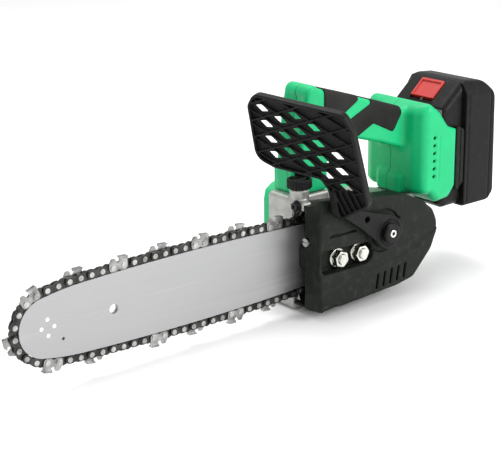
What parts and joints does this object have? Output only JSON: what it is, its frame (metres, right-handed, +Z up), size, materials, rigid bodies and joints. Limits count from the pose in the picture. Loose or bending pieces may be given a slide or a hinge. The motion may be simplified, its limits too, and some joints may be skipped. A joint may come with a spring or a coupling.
{
  "type": "chainsaw",
  "caption": "Cordless top-handle chainsaw with guide bar, toothed chain, hand guard, motor and gearbox, trigger handle and slide-on battery pack.",
  "frame": {"origin": "on the flat underside, in the plane where the two handle shells meet, between the bar studs and the output shaft", "axes": "+Z up, -X towards the tip of the bar, +X towards the battery, -Y the side of the sprocket cover"},
  "size_m": [0.5023, 0.1448, 0.1915],
  "materials": {
    "bar_steel": "ground and polished along the bar",
    "bar_core_steel": "plain rolled",
    "sprocket_steel": "hardened, lightly oiled",
    "rivet_steel": "bright peened heads",
    "chain_dark": "blued and oiled",
    "cutter_chrome": "hard chromed and ground",
    "shaft_steel": "ground",
    "winding_copper": "enamelled copper winding on a steel core",
    "zinc": "bright zinc",
    "black_screw": "black oxide",
    "cast_alloy": "as cast, fine grit",
    "spring_steel": "drawn wire",
    "green_plastic": "satin moulded nylon, bright green",
    "cover_plastic": "fine textured nylon, near black",
    "grip_rubber": "soft matt overmould",
    "cap_plastic": "fine textured, black",
    "tank_plastic": "natural, satin",
    "switch_plastic": "smooth, black",
    "board": "solder masked board",
    "battery_plastic": "fine textured ABS, near black",
    "cell_wrap": "shrink film",
    "red_plastic": "satin moulded, red"
  },
  "bodies": {
    "root": {"bar_near_sheet": "bar_steel", "bar_core": "bar_core_steel", "bar_far_sheet": "bar_steel", "nose_hub": "bar_core_steel", "nose_rivets": "rivet_steel", "chain_drive_links": "chain_dark", "chain_cutters": "cutter_chrome", "chain_tie_straps": "chain_dark", "chain_rivets": "rivet_steel", "output_bearings": "shaft_steel", "stator": "winding_copper", "motor_bearings": "shaft_steel", "gear_case": "cast_alloy", "gear_cover": "cast_alloy", "motor_housing": "green_plastic", "oil_tank": "tank_plastic", "oil_pump": "cast_alloy", "bar_studs": "zinc", "bar_nuts": "zinc", "tensioner_screw": "zinc", "tensioner_block": "black_screw", "sprocket_cover": "cover_plastic", "guard_screw": "black_screw", "near_shell": "green_plastic", "far_shell": "green_plastic", "front_grip": "grip_rubber", "rear_grip": "grip_rubber", "shell_screws": "zinc", "trigger_pin": "shaft_steel", "trigger_spring": "spring_steel", "lock_spring": "spring_steel", "switch_body": "switch_plastic", "control_board": "board", "battery_rails": "switch_plastic", "terminal_block": "switch_plastic", "case_screws": "zinc"},
    "drive": {"output_shaft": "shaft_steel", "output_gear": "sprocket_steel", "drive_sprocket": "sprocket_steel", "sprocket_clip": "sprocket_steel"},
    "motor": {"rotor": "shaft_steel", "motor_fan": "cover_plastic"},
    "nose": {"nose_sprocket": "sprocket_steel"},
    "guard": {"hand_guard": "cover_plastic"},
    "trigger": {"trigger": "cap_plastic"},
    "plunger": {"switch_plunger": "tank_plastic"},
    "lock": {"lock_button": "cap_plastic"},
    "battery": {"battery_front_case": "battery_plastic", "battery_rear_case": "battery_plastic", "battery_cells": "cell_wrap", "battery_board": "board", "latch_spring": "spring_steel"},
    "latch": {"latch_button": "red_plastic"},
    "cap_ring": {"oil_cap_seal": "grip_rubber"},
    "cap": {"oil_cap": "cap_plastic"}
  },
  "joints": [
    {"name": "sprocket_spin", "type": "hinge", "parent": "root", "child": "drive", "pos_m": [0.05593, 0, 0.05], "axis": [0, 1, 0], "continuous": true},
    {"name": "motor_spin", "type": "hinge", "parent": "root", "child": "motor", "pos_m": [0.02863, 0, 0.05], "axis": [0, 1, 0], "continuous": true},
    {"name": "nose_spin", "type": "hinge", "parent": "root", "child": "nose", "pos_m": [-0.3, -0.021, 0.05], "axis": [0, 1, 0], "continuous": true},
    {"name": "guard_swing", "type": "hinge", "parent": "root", "child": "guard", "pos_m": [0.011, -0.057, 0.066], "axis": [0, -1, 0], "range_deg": [0, 11]},
    {"name": "trigger_pull", "type": "hinge", "parent": "root", "child": "trigger", "pos_m": [0.015, 0, 0.144], "axis": [0, 1, 0], "range_deg": [0, 15], "stiffness_Nm_per_rad": 0.6, "springref_deg": -6.88, "deforming": ["trigger_spring"]},
    {"name": "plunger_push", "type": "slide", "parent": "root", "child": "plunger", "axis": [1, 0, 0], "range_m": [0, 0.0017]},
    {"name": "lock_press", "type": "slide", "parent": "root", "child": "lock", "axis": [0, 1, 0], "range_m": [0, 0.003], "stiffness_N_per_m": 300, "springref_m": -0.003},
    {"name": "battery_slide", "type": "slide", "parent": "root", "child": "battery", "axis": [0, 0, 1], "range_m": [0, 0.07]},
    {"name": "latch_press", "type": "slide", "parent": "battery", "child": "latch", "axis": [-0.7593, 0, -0.6508], "range_m": [0, 0.0025], "stiffness_N_per_m": 400, "springref_m": -0.002},
    {"name": "cap_lift", "type": "slide", "parent": "root", "child": "cap_ring", "axis": [0, 0, 1], "range_m": [0, 0.0075]},
    {"name": "cap_turn", "type": "hinge", "parent": "cap_ring", "child": "cap", "pos_m": [-0.052, -0.017, 0.11], "axis": [0, 0, 1], "range_deg": [0, 1080]}
  ],
  "couplings": [
    {"joint": "motor_spin", "follows": "sprocket_spin", "ratio": -4.4},
    {"joint": "nose_spin", "follows": "sprocket_spin", "ratio": 0.66667},
    {"joint": "trigger_pull", "follows": "plunger_push", "rad_per_m": 153.85},
    {"joint": "cap_turn", "follows": "cap_lift", "rad_per_m": 2513.3}
  ]
}
